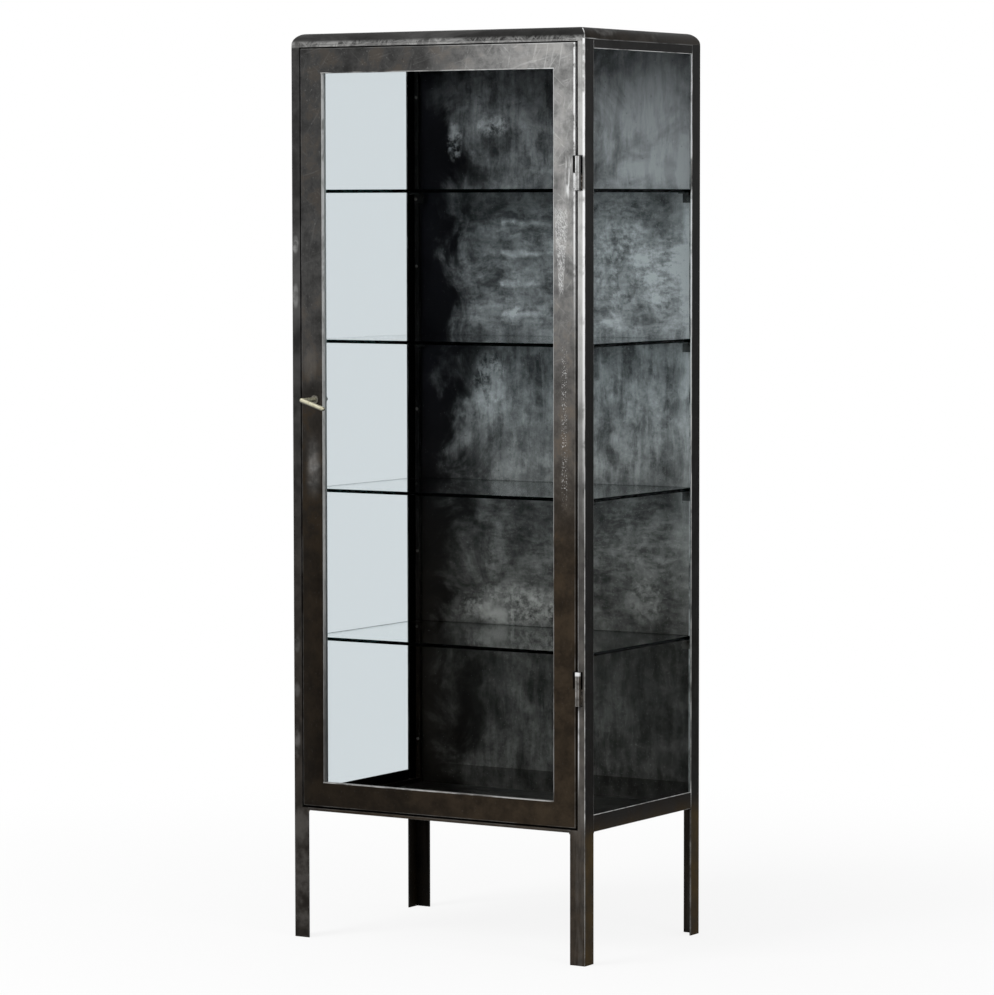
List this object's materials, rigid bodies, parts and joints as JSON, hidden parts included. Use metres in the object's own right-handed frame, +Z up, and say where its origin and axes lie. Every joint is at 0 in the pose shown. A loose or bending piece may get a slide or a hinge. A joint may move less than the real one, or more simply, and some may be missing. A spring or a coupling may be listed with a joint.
{
  "type": "medicine cabinet",
  "caption": "Tall narrow glazed steel cabinet on open angle legs, with a hinged glass door, glass sides, glass shelves, a rolled-edge roof and a bent lever latch.",
  "frame": {"origin": "on the floor under the middle of the whole part, its handle included", "axes": "+X to the right along the front, +Y to the back, +Z up"},
  "size_m": [0.6, 0.444, 1.6],
  "materials": {
    "frame_steel": "dark patinated bare steel, ground bright along edges",
    "roof_steel": "dark patinated bare steel",
    "sheet_steel": "mottled, wiped and brushed dark steel",
    "bead_steel": "dark steel bar",
    "clear_glass": "clear float glass",
    "shelf_glass": "clear float glass with dark green edges",
    "screw_steel": "dull zinc",
    "hinge_steel": "bare worn steel",
    "door_steel": "dark patinated sheet steel, wire-brushed",
    "handle_metal": "worn pale plating over brass",
    "latch_steel": "bare steel",
    "bearing_brass": "turned brass"
  },
  "bodies": {
    "cabinet": {"post_front_left": "frame_steel", "post_front_right": "frame_steel", "post_rear_left": "frame_steel", "post_rear_right": "frame_steel", "bottom_rail_front": "frame_steel", "bottom_rail_rear": "frame_steel", "bottom_rail_left": "frame_steel", "bottom_rail_right": "frame_steel", "top_rail_front": "frame_steel", "top_rail_rear": "frame_steel", "top_rail_left": "frame_steel", "top_rail_right": "frame_steel", "roof": "roof_steel", "floor_panel": "sheet_steel", "back_panel": "sheet_steel", "door_stop_left": "bead_steel", "door_stop_right": "bead_steel", "door_stop_top": "bead_steel", "door_stop_bottom": "bead_steel", "side_beads_left": "bead_steel", "side_beads_right": "bead_steel", "shelf_brackets_1": "bead_steel", "shelf_brackets_2": "bead_steel", "shelf_brackets_3": "bead_steel", "shelf_brackets_4": "bead_steel", "latch_keeper": "bead_steel", "side_glass_left": "clear_glass", "side_glass_right": "clear_glass", "shelf_1": "shelf_glass", "shelf_2": "shelf_glass", "shelf_3": "shelf_glass", "shelf_4": "shelf_glass", "side_bead_screws_left": "screw_steel", "side_bead_screws_right": "screw_steel", "bracket_screws": "screw_steel", "keeper_screws": "screw_steel", "hinge_knuckle_fixed_lower": "hinge_steel", "hinge_knuckle_fixed_upper": "hinge_steel", "hinge_pin_lower": "hinge_steel", "hinge_pin_upper": "hinge_steel", "hinge_washers": "hinge_steel"},
    "door": {"door_stile_left": "door_steel", "door_stile_right": "door_steel", "door_rail_top": "door_steel", "door_rail_bottom": "door_steel", "door_glass": "clear_glass", "door_beads": "bead_steel", "door_bead_screws": "screw_steel", "hinge_knuckle_door_lower": "hinge_steel", "hinge_knuckle_door_upper": "hinge_steel", "handle_rose": "handle_metal", "spindle_bush": "bearing_brass"},
    "handle": {"handle_lever": "handle_metal", "handle_spindle": "latch_steel", "spacer_sleeve": "latch_steel", "latch_tongue": "latch_steel", "tongue_nut": "screw_steel"}
  },
  "joints": [
    {"name": "door_swing", "type": "hinge", "parent": "cabinet", "child": "door", "pos_m": [0.28675, -0.179, 0.90525], "axis": [0, 0, 1], "range_deg": [0, 175]},
    {"name": "handle_turn", "type": "hinge", "parent": "door", "child": "handle", "pos_m": [-0.2525, -0.178, 0.95795], "axis": [0, 1, 0], "range_deg": [-18, 72]}
  ]
}
